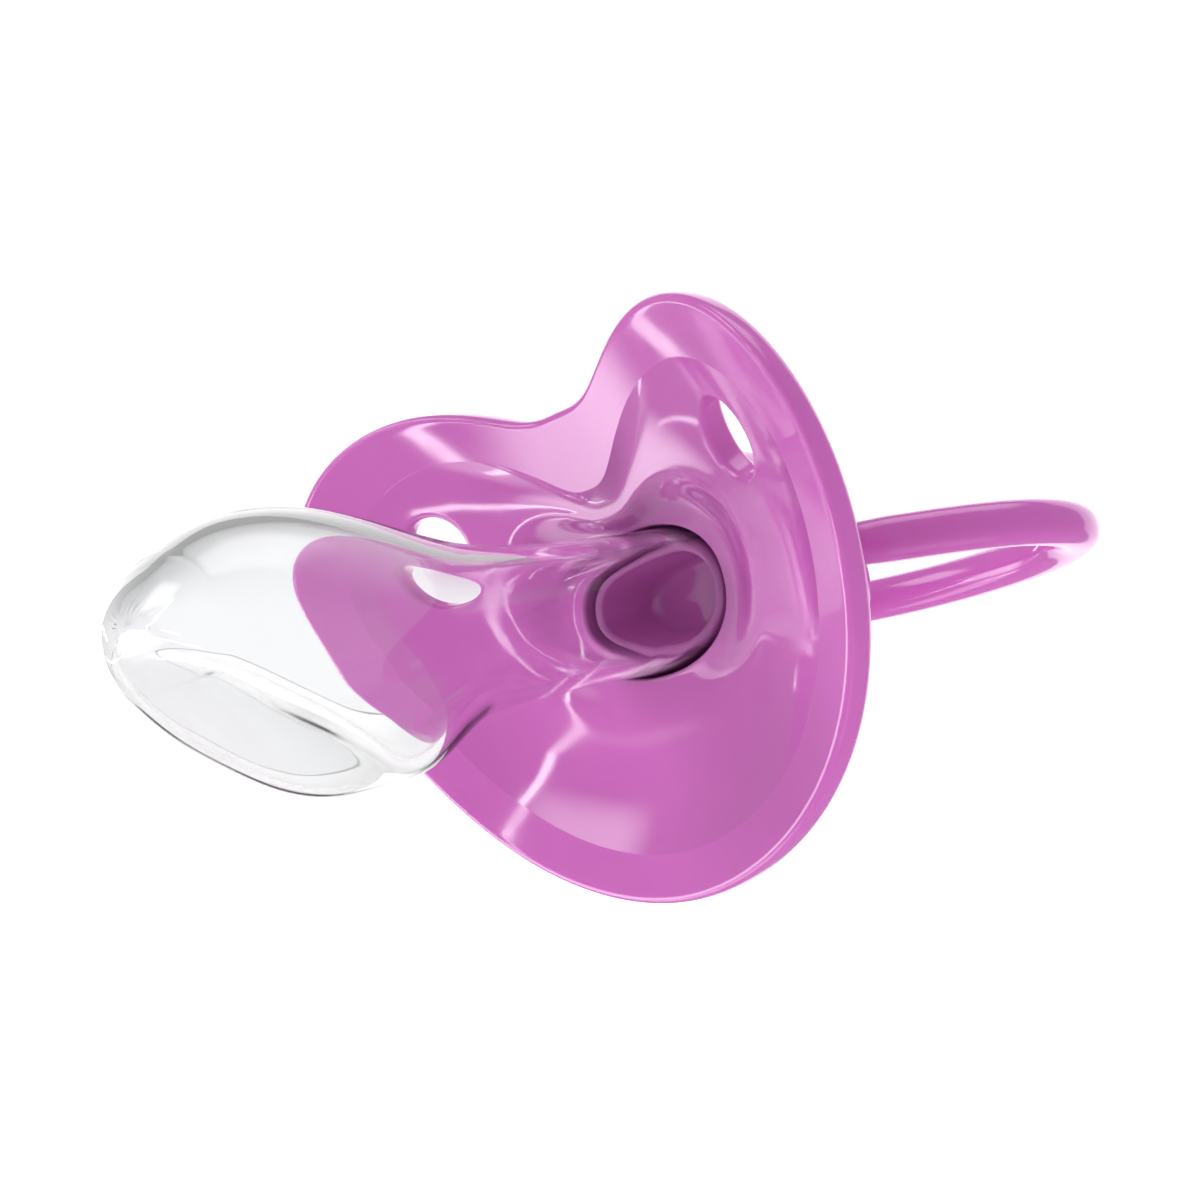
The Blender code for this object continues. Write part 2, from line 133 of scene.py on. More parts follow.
def open_spline(controls, position):
    """B-spline that ends at its first and last controls."""
    c = np.asarray(controls, float)
    return b_spline(np.concatenate([[2 * c[0] - c[1]], c, [2 * c[-1] - c[-2]]]), position)


def catmull_rom(stations, steps):
    """Points of a curve through all stations, with this many steps from one to the next."""
    stations = np.array(stations)
    count = len(stations) - 1
    found = []
    for p in np.linspace(0, count, count * steps + 1):
        i = min(int(p), count - 1)
        t = p - i
        before = stations[max(i - 1, 0)]
        a, b = stations[i], stations[i + 1]
        after = stations[min(i + 2, count)]
        found.append(0.5 * (
            2 * a
            + (b - before) * t
            + (2 * before - 5 * a + 4 * b - after) * t * t
            + (3 * a - before - 3 * b + after) * t ** 3
        ))
    return found


def smooth(t):
    """Eased step from 0 to 1."""
    t = np.clip(t, 0.0, 1.0)
    return t * t * t * (t * (6 * t - 15) + 10)


def oval_radius(theta, size):
    reach = np.abs(np.cos(theta) / size[0]) ** OVAL + np.abs(np.sin(theta) / size[1]) ** OVAL
    return reach ** (-1.0 / OVAL)


def rim_radius(theta):
    """Radius of the shield's outline, which depends only on the height of a direction."""
    lift = np.arcsin(np.clip(np.sin(theta), -1, 1))
    return mirrored_spline(RIM_CONTROLS, (lift / np.pi + 0.5) * (len(RIM_CONTROLS) - 1))


def crease_radius(theta):
    """Radius of the line where the dish meets the flat band."""
    return rim_radius(theta) - BAND_WIDTH - BAND_WIDENING * np.sin(theta)


def base_y(x, z):
    """Swept surface of the band, carried on across the middle."""
    return -(FORWARD + CURVE_X * x * x + CURVE_Z * z * z + CURVE_XXZ * x * x * z + LEAN * z)


def front_y(x, z):
    """Mouth-side surface: the swept surface sunk into a dish, with a boss rising to the hole."""
    theta = np.arctan2(z, x)
    r = np.hypot(x, z)
    hole = oval_radius(theta, HOLE)
    span = crease_radius(theta) - hole
    inside = np.clip((r - hole) / span, 0.0, 1.0)
    sink = DISH_DEPTH * 4 * inside * (1 - inside)
    blend = smooth(inside / BOSS_REACH)
    return HOLE_Y * (1 - blend) + (base_y(x, z) + sink) * blend


# --- mesh building -------------------------------------------------------------------------------

def make_object(name, points, faces, material):
    """Smooth-shaded object from millimetre points of the shape frame."""
    mesh = bpy.data.meshes.new(name)
    mesh.from_pydata([tuple(p) for p in place(points)], [], faces)
    mesh.materials.append(material)
    bm = bmesh.new()
    bm.from_mesh(mesh)
    bmesh.ops.recalc_face_normals(bm, faces=bm.faces)
    bm.to_mesh(mesh)
    bm.free()
    mesh.shade_smooth()
    obj = bpy.data.objects.new(name, mesh)
    bpy.context.scene.collection.objects.link(obj)
    return obj


def loft(rings, closed_loop=False, start_cap=False, end_cap=False, skip=()):
    """Points and faces of a body of rings; skip holds (row, column) of quads to leave out."""
    count = len(rings[0])
    points = [p for ring in rings for p in ring]
    faces = []
    rows = len(rings) if closed_loop else len(rings) - 1
    for j in range(rows):
        a = j * count
        b = ((j + 1) % len(rings)) * count
        for i in range(count):
            if (j, i) in skip:
                continue
            k = (i + 1) % count
            faces.append((a + i, a + k, b + k, b + i))
    for wanted, row in ((start_cap, 0), (end_cap, len(rings) - 1)):
        if wanted:
            middle = len(points)
            ring = np.array(rings[row])
            points.append(ring.mean(axis=0))
            first = row * count
            faces += [(middle, first + i, first + (i + 1) % count) for i in range(count)]
    return points, faces


def circle(sides):
    """Cosine and sine of evenly spaced angles."""
    angle = np.linspace(0, 2 * np.pi, sides, endpoint=False)
    return np.cos(angle), np.sin(angle)


def powered(value, power):
    """A power that keeps the sign."""
    return np.sign(value) * np.abs(value) ** power


def oval_ring(y, size, sides):
    c, s = circle(sides)
    x = powered(c, 2 / OVAL) * size[0]
    z = powered(s, 2 / OVAL) * size[1]
    return np.stack([x, np.full(sides, float(y)), z], axis=1)


def oval_rings(profile, sides):
    """Rings of an oval body from (half width, half height, y) stations."""
    return [oval_ring(y, (w, h), sides) for w, h, y in profile]


def join_rows(rows, faces):
    """Adds quads between neighbouring rows of point numbers, each row closed on itself."""
    for row, following in zip(rows, rows[1:]):
        for i in range(len(row)):
            k = (i + 1) % len(row)
            faces.append((row[i], row[k], following[k], following[i]))


# --- shield --------------------------------------------------------------------------------------

THETA = np.linspace(0, 2 * np.pi, SHIELD_SIDES, endpoint=False)


def polar(radius, y):
    """Ring of the shield's mesh; y is a depth or a surface over x and z."""
    x = radius * np.cos(THETA)
    z = radius * np.sin(THETA)
    height = y(x, z) if callable(y) else np.full(SHIELD_SIDES, float(y))
    return np.stack([x, height, z], axis=1)


def dish_fractions():
    """Radial stations from the hub to the crease, closer together at the crease."""
    even = np.linspace(0, 1, DISH_STATIONS)
    return np.unique(np.concatenate([even[:-1], DISH_END_STATIONS, [1.0]]))


def dish_ring(fraction, back):
    """Ring of the dish on the front or back surface."""
    hub = oval_radius(THETA, HUB_OUTER)
    radius = hub + (crease_radius(THETA) - hub) * fraction
    lift = THICKNESS if back else 0.0
    return polar(radius, lambda x, z: front_y(x, z) + lift)


def vent_loops(outline, centre, axis, side_y, sign):
    """Loops from the patch outline to the vent's rounded edge, on the front or back surface."""
    x0, z0 = centre
    angle = np.arctan2(outline[:, 2] - z0, outline[:, 0] - x0)
    rightward = np.cross(axis, [0.0, 0.0, 1.0])
    rightward /= np.linalg.norm(rightward)
    rightward *= np.sign(rightward[0])
    upward = np.cross(rightward, axis)
    upward *= np.sign(upward[2])
    middle = np.array([x0, base_y(x0, z0), z0])
    around = np.outer(np.cos(angle), rightward) + np.outer(np.sin(angle), upward)
    rim = middle + around * (VENT_RADIUS + VENT_FILLET)
    slide = np.zeros(len(angle))
    for _ in range(VENT_FIT_ROUNDS):
        p = rim + np.outer(slide, axis)
        slide += (side_y(p[:, 0], p[:, 2]) - p[:, 1]) / axis[1] * VENT_FIT_RATE
    loops = []
    edge = rim + np.outer(slide, axis)
    for k in range(1, VENT_PATCH_LOOPS + 1):
        t = k / VENT_PATCH_LOOPS
        flat = outline * (1 - t) + edge * t
        flat[:, 1] = side_y(flat[:, 0], flat[:, 2])
        loops.append(flat)
    for k in range(1, VENT_FILLET_STEPS + 1):
        a = math.pi / 2 * k / VENT_FILLET_STEPS
        radius = VENT_RADIUS + VENT_FILLET * (1 - math.sin(a))
        depth = slide + sign * VENT_FILLET * (1 - math.cos(a))
        loops.append(middle + around * radius + np.outer(depth, axis))
    return loops


def surface_axis(x, z):
    """Unit vector across the plate, square to the swept surface at x, z."""
    slope_x = -2 * x * (CURVE_X + CURVE_XXZ * z)
    slope_z = -2 * CURVE_Z * z - CURVE_XXZ * x ** 2 - LEAN
    axis = np.array([-slope_x, 1.0, -slope_z])
    return axis / np.linalg.norm(axis)


def add_vent(points, faces, skip, front_row, back_row, side):
    """Opens a vent: adds its points and faces, and the quads of the grid that it replaces to skip."""
    centre = (side * VENT_CENTRE[0], VENT_CENTRE[1])
    fractions = dish_fractions()
    theta = math.atan2(centre[1], centre[0])
    hub = float(oval_radius(theta, HUB_OUTER))
    crease = float(crease_radius(theta))
    reach = math.hypot(*centre)
    spread = VENT_RADIUS + VENT_FILLET + VENT_MARGIN
    near, far = ((reach + step - hub) / (crease - hub) for step in (-spread, spread))
    low = max(1, int(np.searchsorted(fractions, near)) - 1)
    high = min(len(fractions) - 2, int(np.searchsorted(fractions, far)))
    half_turn = spread / reach
    first = int(math.floor((theta - half_turn) / (2 * math.pi) * SHIELD_SIDES))
    last = int(math.ceil((theta + half_turn) / (2 * math.pi) * SHIELD_SIDES))
    columns = [i % SHIELD_SIDES for i in range(first, last + 1)]

    def outline_keys(row_of):
        keys = [(row_of(low), c) for c in columns]
        keys += [(row_of(j), columns[-1]) for j in range(low + 1, high + 1)]
        keys += [(row_of(high), c) for c in reversed(columns[:-1])]
        keys += [(row_of(j), columns[0]) for j in range(high - 1, low, -1)]
        return keys

    axis = surface_axis(*centre)
    sets = []
    for row_of, lift, sign in ((front_row, 0.0, 1), (back_row, THICKNESS, -1)):
        keys = outline_keys(row_of)
        ids = [r * SHIELD_SIDES + c for r, c in keys]
        outline = np.array([points[i] for i in ids])
        loops = vent_loops(outline, centre, axis, lambda x, z, d=lift: front_y(x, z) + d, sign)
        rows = [ids]
        for loop in loops:
            start = len(points)
            points.extend(loop)
            rows.append(list(range(start, start + len(ids))))
        sets.append(rows)
    front, back = sets
    join_rows(front + back[::-1], faces)
    for j in range(low, high):
        for c in columns[:-1]:
            skip.add((front_row(j), c))
            skip.add((min(back_row(j), back_row(j + 1)), c))


def shield_rings():
    """Rings round the shield's closed skin, and the dish's row at the hub on the front and back."""
    hole = oval_radius(THETA, HOLE)
    hub = oval_radius(THETA, HUB_OUTER)
    crease = crease_radius(THETA)
    rim = rim_radius(THETA)
    rings = [polar(hole, y) for y in HOLE_WALL_Y]
    for k in range(HOLE_FILLET_STEPS + 1):
        a = math.pi / 2 * k / HOLE_FILLET_STEPS
        out = hole + HOLE_FILLET * (1 - math.cos(a))
        x = out * np.cos(THETA)
        z = out * np.sin(THETA)
        edge = front_y(x, z) + HOLE_FILLET * (1 - math.sin(a))
        rings.append(np.stack([x, edge, z], axis=1))
    start = hole + HOLE_FILLET
    for f in np.linspace(0, 1, BOSS_STATIONS)[1:-1]:
        rings.append(polar(start + (hub - start) * f, front_y))
    front_start = len(rings)
    fractions = dish_fractions()
    rings += [dish_ring(f, back=False) for f in fractions]
    band_end = rim - LIP
    for f in BAND_STATIONS:
        rings.append(polar(crease + (band_end - crease) * f, base_y))
    half = THICKNESS / 2
    power = 2 / LIP_SQUARENESS
    for k in range(1, LIP_STEPS):
        a = -math.pi / 2 + math.pi * k / LIP_STEPS
        out = math.cos(a) ** power * LIP
        depth = half + math.copysign(abs(math.sin(a)) ** power, a) * half
        rings.append(polar(band_end + out, lambda x, z, d=depth: base_y(x, z) + d))
    for f in BACK_BAND_STATIONS:
        rings.append(polar(crease + (band_end - crease) * f, lambda x, z: base_y(x, z) + THICKNESS))
    rings += [dish_ring(f, back=True) for f in fractions[::-1]]
    back_start = len(rings) - 1
    rings += [polar(hub, y) for y in HUB_WALL_Y]
    rings += [polar(hub - inset, HUB_END_Y - drop) for inset, drop in HUB_EDGE]
    inner = oval_radius(THETA, HUB_INNER)
    rings += [polar(inner, y) for y in (HUB_END_Y, SEAT_Y)]
    return rings, front_start, back_start


def make_shield(material):
    rings, front_start, back_start = shield_rings()
    points = [p for ring in rings for p in ring]
    skip = set()
    lining = []
    for side in (1, -1):
        add_vent(
            points, lining, skip,
            front_row=lambda j: front_start + j,
            back_row=lambda j: back_start - j,
            side=side,
        )
    _, faces = loft(rings, closed_loop=True, skip=skip)
    return make_object("shield_shell", points, faces + lining, material)


# --- teat ----------------------------------------------------------------------------------------

# Sections as (y, half width, top, bottom, squareness of the underside, wall).
TEAT_SECTIONS = (
    (3.9, 7.52, 4.42, -4.42, 2.2, 0.72),
    (1.5, 7.52, 4.42, -4.42, 2.2, 0.72),
    (-0.5, 7.38, 4.30, -4.30, 2.2, 0.66),
    (-2.8, 7.30, 4.25, -4.25, 2.2, 0.65),
    (-5.5, 7.25, 4.35, -4.35, 2.2, 0.70),
    (-9.0, 7.00, 4.55, -4.55, 2.2, 0.75),
    (-12.0, 7.05, 4.80, -4.80, 2.3, 0.80),
    (-15.0, 7.40, 5.40, -5.30, 2.5, 0.85),
    (-18.0, 8.15, 6.60, -6.90, 2.8, 0.85),
    (-20.5, 8.60, 7.70, -8.25, 3.2, 0.85),
    (-23.5, 8.85, 8.60, -7.55, 3.6, 0.85),
    (-26.5, 8.75, 8.90, -5.75, 3.6, 0.85),
    (-29.5, 8.20, 8.50, -3.90, 3.4, 0.85),
    (-32.0, 6.95, 7.10, -1.20, 3.0, 0.85),
)
TEAT_END_ROUNDING = (0.374, 1.0)                  # how fast the width and the height close at the tip
TEAT_TIP = (-34.6, 3.25)                          # y and z
TEAT_TIP_PEAK = 0.08                              # how far the cage's last point stands out there
TEAT_TIP_LEANS = (18, 36, 54, 72)                 # stations round the tip, in degrees
TEAT_WIDEST_DROP = 0.08                           # how much a squarer underside lowers the widest line
TEAT_CAGE_SIDES = 24
TEAT_CAGE_GROWTH = 1.0115                         # a smoothed cage of 24 sides shrinks by this much
TEAT_REFINEMENT = 3
SCOOP_CENTRE = (-27.0, -3.2)                      # y and z
SCOOP_SLOPE = math.radians(33)
SCOOP_SIZE = (8.6, 7.6)                           # half length and half width of the pad
SCOOP_DEPTH = 1.3
SCOOP_EDGE = 0.16                                 # softness of the pad's rim
SCOOP_FACING = (0.15, 0.3)                        # where the skin faces down enough, and how gradually
FLANGE = (8.8, 5.7)
FLANGE_THICKNESS = 1.1
FLANGE_ROUNDING = 0.25
FLANGE_BORE = (7.0, 3.9)


def teat_ring(y, half_width, top, bottom, squareness):
    """Ring of the teat's cage: oval above its widest line, squarer below."""
    share = 0.5 - TEAT_WIDEST_DROP * (squareness - OVAL)
    middle = bottom + (top - bottom) * share
    c, s = circle(TEAT_CAGE_SIDES)
    power = np.where(s >= 0, 2 / OVAL, 2 / squareness)
    height = np.where(s >= 0, top - middle, middle - bottom)
    x = powered(c, power) * half_width
    z = middle + powered(s, power) * height
    return np.stack([x, np.full(TEAT_CAGE_SIDES, float(y)), z], axis=1)


def teat_skin():
    """Outer skin of the teat, open at the neck: a cage of rings refined by subdivision."""
    g = TEAT_CAGE_GROWTH
    rings = [teat_ring(y, w * g, t * g, b * g, n) for y, w, t, b, n, _ in TEAT_SECTIONS]
    y, w, t, b, n, _ = TEAT_SECTIONS[-1]
    for lean in TEAT_TIP_LEANS:
        s = math.sin(math.radians(lean)) ** 2
        width, height = (math.sqrt(1 - a * s - (1 - a) * s * s) for a in TEAT_END_ROUNDING)
        middle = (t + b) / 2 * (1 - s) + TEAT_TIP[1] * s
        half = (t - b) / 2 * height
        rings.append(teat_ring(
            y + (TEAT_TIP[0] - y) * s,
            w * width * g,
            middle + half * g,
            middle - half * g,
            n + (OVAL - n) * s,
        ))
    points, faces = loft(rings)
    tip = len(points)
    points.append(np.array([0.0, TEAT_TIP[0] - TEAT_TIP_PEAK, TEAT_TIP[1]]))
    first = tip - TEAT_CAGE_SIDES
    faces += [(tip, first + i, first + (i + 1) % TEAT_CAGE_SIDES) for i in range(TEAT_CAGE_SIDES)]
    mesh = bpy.data.meshes.new("teat_cage")
    mesh.from_pydata([tuple(p) for p in points], [], faces)
    obj = bpy.data.objects.new("teat_cage", mesh)
    bpy.context.scene.collection.objects.link(obj)
    refine = obj.modifiers.new("refine", "SUBSURF")
    refine.levels = TEAT_REFINEMENT
    refine.render_levels = TEAT_REFINEMENT
    graph = bpy.context.evaluated_depsgraph_get()
    fine = bpy.data.meshes.new_from_object(obj.evaluated_get(graph))
    bpy.data.objects.remove(obj, do_unlink=True)
    return fine


def vertex_arrays(mesh):
    """Places and normals of a mesh's vertices."""
    co = np.zeros(len(mesh.vertices) * 3, np.float32)
    mesh.vertices.foreach_get("co", co)
    normal = np.zeros(len(mesh.vertices) * 3, np.float32)
    mesh.vertices.foreach_get("normal", normal)
    return co.reshape(-1, 3).astype(float), normal.reshape(-1, 3).astype(float)


def press_scoop(co, normal):
    """Hollows the oval pad on the teat's underside."""
    along = np.array([0.0, math.cos(SCOOP_SLOPE), -math.sin(SCOOP_SLOPE)])
    inward = np.array([0.0, math.sin(SCOOP_SLOPE), math.cos(SCOOP_SLOPE)])
    offset = co - np.array([0.0, SCOOP_CENTRE[0], SCOOP_CENTRE[1]])
    u = offset @ along / SCOOP_SIZE[0]
    v = offset[:, 0] / SCOOP_SIZE[1]
    dish = 1 - u * u - v * v
    depth = SCOOP_DEPTH * (dish + np.sqrt(dish * dish + SCOOP_EDGE ** 2)) / 2
    facing = -(normal @ inward)
    return co + np.outer(depth * smooth((facing - SCOOP_FACING[0]) / SCOOP_FACING[1]), inward)


def open_ring(bm):
    """Vertices of the open end, in order round it from the side at +X."""
    rim = [v for v in bm.verts if v.is_boundary]
    start = min(rim, key=lambda v: (-v.co.x, abs(v.co.z)))
    order = [start]
    while len(order) < len(rim):
        nearby = [e.other_vert(order[-1]) for e in order[-1].link_edges if e.is_boundary]
        nearby = [v for v in nearby if v not in order]
        order.append(max(nearby, key=lambda v: v.co.z) if len(order) == 1 else nearby[0])
    return order


def make_teat(material):
    """Outer and inner skin, joined by the clamping flange at the open end."""
    skin = teat_skin()
    co, normal = vertex_arrays(skin)
    if normal[np.argmax(co[:, 0])][0] < 0:
        normal = -normal
    outer = press_scoop(co, normal)
    stations = sorted((section[0], section[5]) for section in TEAT_SECTIONS)
    wall = np.interp(co[:, 1], *zip(*stations))
    # The unpressed skin's normals keep the inner skin from crossing itself at the pad's rim.
    inner = outer - normal * wall[:, None]
    bm = bmesh.new()
    bm.from_mesh(skin)
    end = [v.index for v in open_ring(bm)]
    bm.free()
    sides = len(end)
    faces = [tuple(p.vertices) for p in skin.polygons]
    shift = len(outer)
    faces += [tuple(i + shift for i in face) for face in faces]
    flange_front = SEAT_Y + CLEARANCE
    flange_back = flange_front + FLANGE_THICKNESS
    edge = FLANGE_ROUNDING
    profile = (
        (FLANGE[0] - edge, FLANGE[1] - edge, flange_front),
        (*FLANGE, flange_front + edge),
        (*FLANGE, flange_back - edge),
        (FLANGE[0] - edge, FLANGE[1] - edge, flange_back),
        (*FLANGE_BORE, flange_back),
    )
    points = list(outer) + list(inner)
    rows = [end]
    for w, h, y in profile:
        rows.append(list(range(len(points), len(points) + sides)))
        points += list(oval_ring(y, (w, h), sides))
    rows.append([i + shift for i in end])
    join_rows(rows, faces)
    return make_object("teat_shell", points, faces, material)


# --- neck insert ---------------------------------------------------------------------------------

INSERT_SIDES = 144
INSERT_OUTER = (6.72, 3.62)
INSERT_BORE = (5.95, 2.95)
INSERT_MOUTH_Y = 0.8
INSERT_LIP = (0.4, 0.8)                           # height and squareness of the mouth's rounding
INSERT_LIP_STEPS = 12
INSERT_MOUTH_DEPTH = 0.45                         # where the straight walls start behind the mouth
INSERT_TAPER = 0.4                                # how much the bore narrows towards its floor
INSERT_BORE_STATIONS = 9
INSERT_FLOOR_Y = 5.0
INSERT_FLOOR_EDGE = ((1.0, 0.0), (0.62, 0.12), (0.42, 0.5))   # rounding at the floor: inwards, forwards
INSERT_BORE_END = 0.7                             # where the bore's wall ends before the floor
INSERT_MIDDLE_Y = 2.5
INSERT_CORNER = 0.3                               # bevel between the tube and its flange
INSERT_FLANGE_THICKNESS = 1.1
INSERT_RECESS = (5.0, 2.4)                        # hollow in the insert's back
INSERT_RECESS_Y = 5.6


def make_insert(material):
    """One profile from the bore's floor over the lip and the flange to the recess in the back."""
    outer, bore = INSERT_OUTER, INSERT_BORE
    flange_front = SEAT_Y + 2 * CLEARANCE + FLANGE_THICKNESS
    flange_back = flange_front + INSERT_FLANGE_THICKNESS
    bore_floor = INSERT_FLOOR_Y - INSERT_BORE_END
    bore_mouth = INSERT_MOUTH_Y + INSERT_MOUTH_DEPTH
    profile = [
        (bore[0] - inset, bore[1] - inset, INSERT_FLOOR_Y - rise)
        for inset, rise in INSERT_FLOOR_EDGE
    ]
    for t in np.linspace(0, 1, INSERT_BORE_STATIONS):
        taper = INSERT_TAPER * (1 - t)
        profile.append((bore[0] - taper, bore[1] - taper, bore_floor + (bore_mouth - bore_floor) * t))
    lip_height, lip_power = INSERT_LIP
    for k in range(1, INSERT_LIP_STEPS):
        a = math.pi * k / INSERT_LIP_STEPS
        share = (1 - math.cos(a)) / 2
        half_width, half_height = (b + (o - b) * share for o, b in zip(outer, bore))
        y = INSERT_MOUTH_Y + lip_height - lip_height * math.sin(a) ** lip_power
        profile.append((half_width, half_height, y))
    profile += [
        (*outer, bore_mouth),
        (*outer, INSERT_MIDDLE_Y),
        (*outer, flange_front - INSERT_CORNER),
        (outer[0] + INSERT_CORNER, outer[1] + INSERT_CORNER, flange_front),
        (*FLANGE, flange_front),
        (*FLANGE, flange_back),
        (*INSERT_RECESS, flange_back),
        (*INSERT_RECESS, INSERT_RECESS_Y),
    ]
    points, faces = loft(oval_rings(profile, INSERT_SIDES), start_cap=True, end_cap=True)
    return make_object("insert_cup", points, faces, material)


# --- rear cap ------------------------------------------------------------------------------------

CAP_SIDES = 192
CAP_STEPS = 5                                     # mesh stations from one row of the profile to the next
CAP_SHARP_ANGLE = math.radians(35)
# Outside and inside as (half width, half height, y).
CAP_PROFILE = (
    (11.05, 8.35, 3.4), (11.25, 8.55, 3.65), (11.3, 8.6, 4.2), (11.3, 8.6, 5.4), (11.15, 8.55, 6.1),
    (10.5, 8.4, 6.9), (9.4, 8.2, 7.5), (8.8, 7.95, 8.3), (8.55, 7.65, 9.4), (8.3, 7.3, 10.5),
    (7.9, 6.8, 11.5), (7.2, 6.1, 12.2), (6.4, 5.35, 12.5), (5.6, 4.6, 12.6),
)
CAP_INSIDE = (
    (5.2, 4.2, 11.0), (5.2, 4.2, 6.9), (8.7, 5.6, 6.9), (8.7, 5.6, 7.8), (10.3, 7.2, 7.8),
    (10.3, 7.2, 3.6), (10.45, 7.4, 3.4),
)
SOCKET_RADIUS = 1.65
SOCKET_CENTRE_X = 10.0                            # middle of the cutter that drills the socket
SOCKET_CUTTER_LENGTH = 8.0
SOCKET_SIDES = 64


def make_cap(material):
    outside = catmull_rom(CAP_PROFILE, CAP_STEPS)
    rings = oval_rings([*CAP_INSIDE, *outside], CAP_SIDES)
    points, faces = loft(rings, start_cap=True, end_cap=True)
    cap = make_object("cap_shell", points, faces, material)
    for side in (-1, 1):
        drill(cap, side)
    return cap


def drill(cap, side):
    """Blind socket in the cap's side for one pin of the ring."""
    bm = bmesh.new()
    radius = SOCKET_RADIUS * MM
    bmesh.ops.create_cone(
        bm, cap_ends=True, segments=SOCKET_SIDES, radius1=radius, radius2=radius,
        depth=SOCKET_CUTTER_LENGTH * MM,
    )
    mesh = bpy.data.meshes.new("socket_tool")
    bm.to_mesh(mesh)
    bm.free()
    tool = bpy.data.objects.new("socket_tool", mesh)
    tool.matrix_world = (
        Matrix.Translation(HINGE + Vector((side * SOCKET_CENTRE_X * MM, 0, 0)))
        @ Matrix.Rotation(math.pi / 2, 4, "Y")
    )
    bpy.context.scene.collection.objects.link(tool)
    bpy.context.view_layer.update()
    modifier = cap.modifiers.new("socket", "BOOLEAN")
    modifier.operation = "DIFFERENCE"
    modifier.object = tool
    graph = bpy.context.evaluated_depsgraph_get()
    fine = bpy.data.meshes.new_from_object(cap.evaluated_get(graph))
    cap.modifiers.clear()
    cap.data = fine
    fine.shade_smooth()
    fine.set_sharp_from_angle(angle=CAP_SHARP_ANGLE)
    bpy.data.objects.remove(tool, do_unlink=True)


# --- ring handle ---------------------------------------------------------------------------------

RING_TILT = math.radians(-6.2)                    # how the ring hangs in the photo
RING_SECTION = (1.5, 1.4)
RING_SECTION_POWER = 2.3
RING_SIDES = 40
RING_STATIONS = 260
RING_ROOT_HALF_GAP = 10.45                        # x where the legs leave the pins
RING_HALF_WIDTH = 15.3
RING_REACH = 19.5                                 # from the hinge to the far end's middle line
RING_LEG_START = 0.75
RING_LEG_STATIONS = 9
RING_END_LENGTH = 10.2                            # length of the rounded far end
RING_END_POWER = 2.12
RING_END_STATIONS = 14
PIN_RADIUS = 1.35
PIN_END_X = 6.3                                   # x of the pins' inner ends
PIN_STEP = 0.9
PIN_STATIONS = 4
PIN_BEND = (0.5, 0.15)                            # point before the leg: inwards from the root, backwards
PIN_BLEND = (0.05, 1.6)                           # start and length of the change to the loop's section


def ring_half():
    """Half of the loop's middle line as (x, distance behind the hinge), pin end to far end."""
    widest = RING_REACH - RING_END_LENGTH
    path = [(PIN_END_X + PIN_STEP * k, 0.0) for k in range(PIN_STATIONS)]
    path.append((RING_ROOT_HALF_GAP - PIN_BEND[0], PIN_BEND[1]))
    for t in np.linspace(0, 1, RING_LEG_STATIONS)[:-1]:
        bulge = math.sin(t * math.pi / 2)
        x = RING_ROOT_HALF_GAP + (RING_HALF_WIDTH - RING_ROOT_HALF_GAP) * bulge
        path.append((x, RING_LEG_START + (widest - RING_LEG_START) * t))
    for angle in np.linspace(0, math.pi / 2, RING_END_STATIONS):
        x = math.cos(angle) ** (2 / RING_END_POWER) * RING_HALF_WIDTH
        path.append((x, widest + math.sin(angle) ** (2 / RING_END_POWER) * RING_END_LENGTH))
    path[-1] = (0.0, path[-1][1])
    return path


def make_ring(material):
    """Sweeps the section along the loop from one pin's end to the other's."""
    right = ring_half()
    path = np.array(right + [(-x, s) for x, s in right[-2::-1]])
    position = np.linspace(0, len(path) - 1, RING_STATIONS)
    px = open_spline(path[:, 0], position)
    ps = open_spline(path[:, 1], position)
    dx = np.gradient(px)
    ds = np.gradient(ps)
    length = np.hypot(dx, ds)
    dx, ds = dx / length, ds / length
    c, s = circle(RING_SIDES)
    turn = np.array([0.0, math.cos(RING_TILT), math.sin(RING_TILT)])
    upright = np.array([0.0, -math.sin(RING_TILT), math.cos(RING_TILT)])
    hinge = np.array(HINGE) / MM - np.array([0.0, NECK_PLANE, 0.0])
    rings = []
    for k in range(RING_STATIONS):
        past_pin = smooth((ps[k] - PIN_BLEND[0]) / PIN_BLEND[1])
        half_width, half_height = (PIN_RADIUS + (w - PIN_RADIUS) * past_pin for w in RING_SECTION)
        power = 2 / (2 + (RING_SECTION_POWER - 2) * past_pin)
        across = powered(c, power) * half_width
        lift = powered(s, power) * half_height
        x = px[k] + ds[k] * across
        run = ps[k] - dx[k] * across
        rings.append(hinge + np.outer(x, [1.0, 0, 0]) + np.outer(run, turn) + np.outer(lift, upright))
    points, faces = loft(rings, start_cap=True, end_cap=True)
    return make_object("ring_loop", points, faces, material)


# --- materials -----------------------------------------------------------------------------------

PINK_DEEP = (0.60, 0.135, 0.50)
PINK_LIGHT = (0.63, 0.15, 0.53)
CLEAR_DEEP = (0.985, 0.988, 0.992)
CLEAR_LIGHT = (0.995, 0.996, 0.998)
NOISE_SPAN = (0.3, 0.7)                           # nearly all of a noise's values lie in here
PLASTIC_GLOSS = (0.045, 0.10)                     # roughness, from and to
PLASTIC_WAVES = (160.0, 0.00004, 0.25)            # noise scale, height in metres and strength
SILICONE_GLOSS = (0.0, 0.03)
SILICONE_WAVES = (120.0, 0.00003, 0.2)
WAVE_DETAIL = 2.0


def new_material(name):
    material = bpy.data.materials.new(name)
    material.use_nodes = True
    nodes = material.node_tree.nodes
    return material, nodes, material.node_tree.links, nodes["Principled BSDF"]


